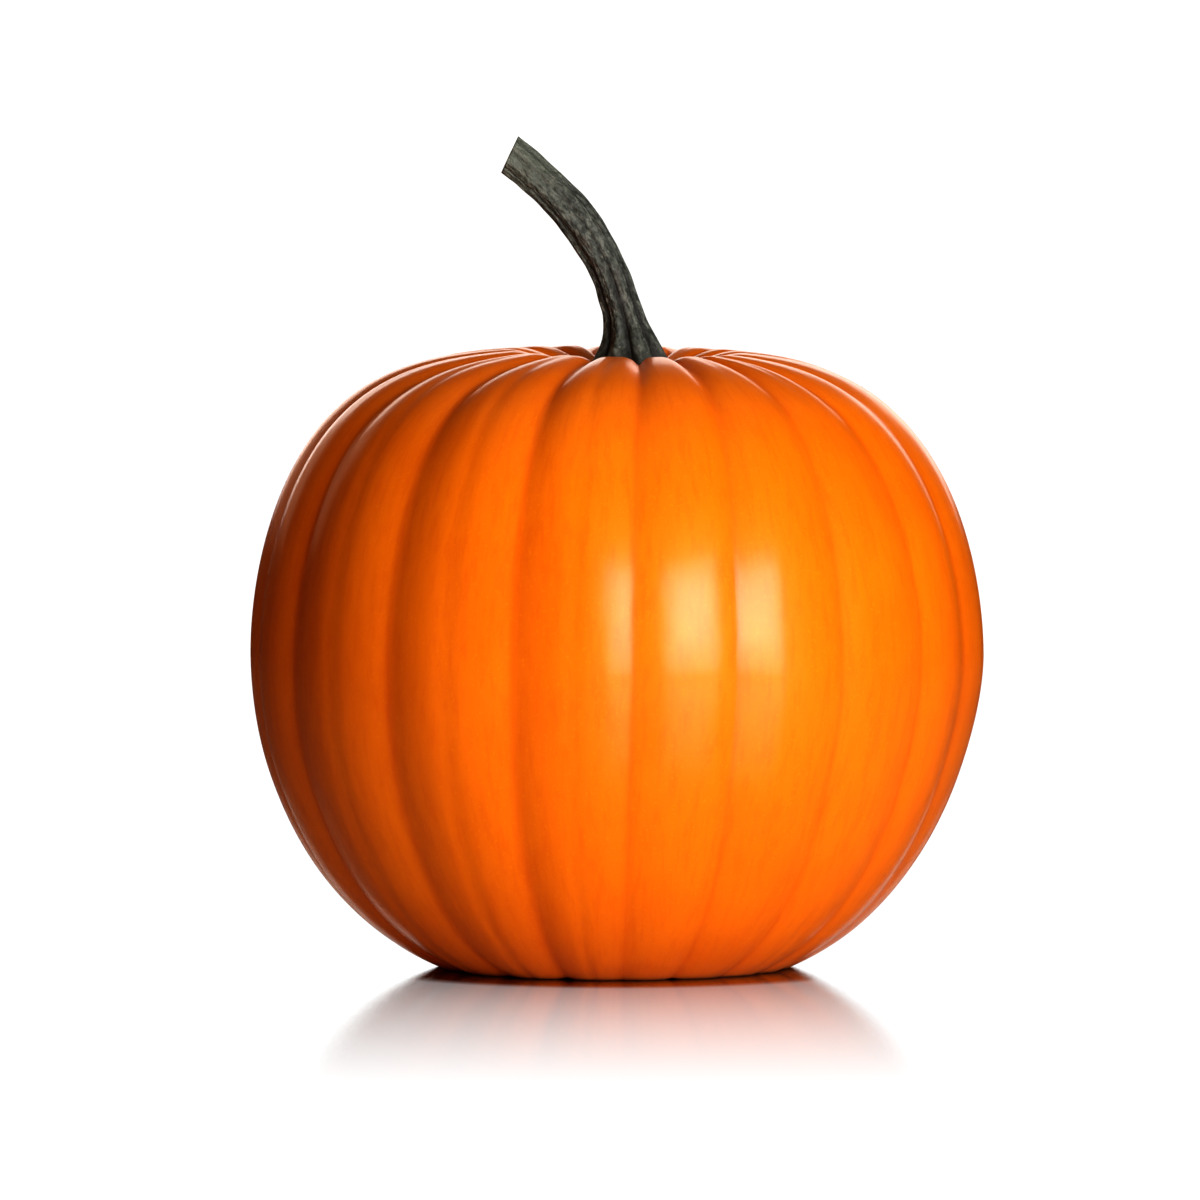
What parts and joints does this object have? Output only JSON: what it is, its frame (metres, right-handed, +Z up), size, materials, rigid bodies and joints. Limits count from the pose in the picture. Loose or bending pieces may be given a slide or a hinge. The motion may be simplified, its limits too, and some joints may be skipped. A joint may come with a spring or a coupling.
{
  "type": "pumpkin",
  "caption": "Whole ripe pumpkin with a ribbed, slightly flattened body and a curved, ridged stem; stands on flat pads round its blossom end.",
  "frame": {"origin": "middle of the footprint, at the height of the surface the pumpkin rests on", "axes": "+Z up through the fruit, front of the pictured view towards -Y, +X to the viewer's right; the stem leans towards -X"},
  "size_m": [0.26, 0.2595, 0.2951],
  "materials": {
    "rind": "satin",
    "stem": "matte"
  },
  "bodies": {
    "root": {"pumpkin_body": "rind", "pumpkin_stem": "stem"}
  },
  "joints": []
}
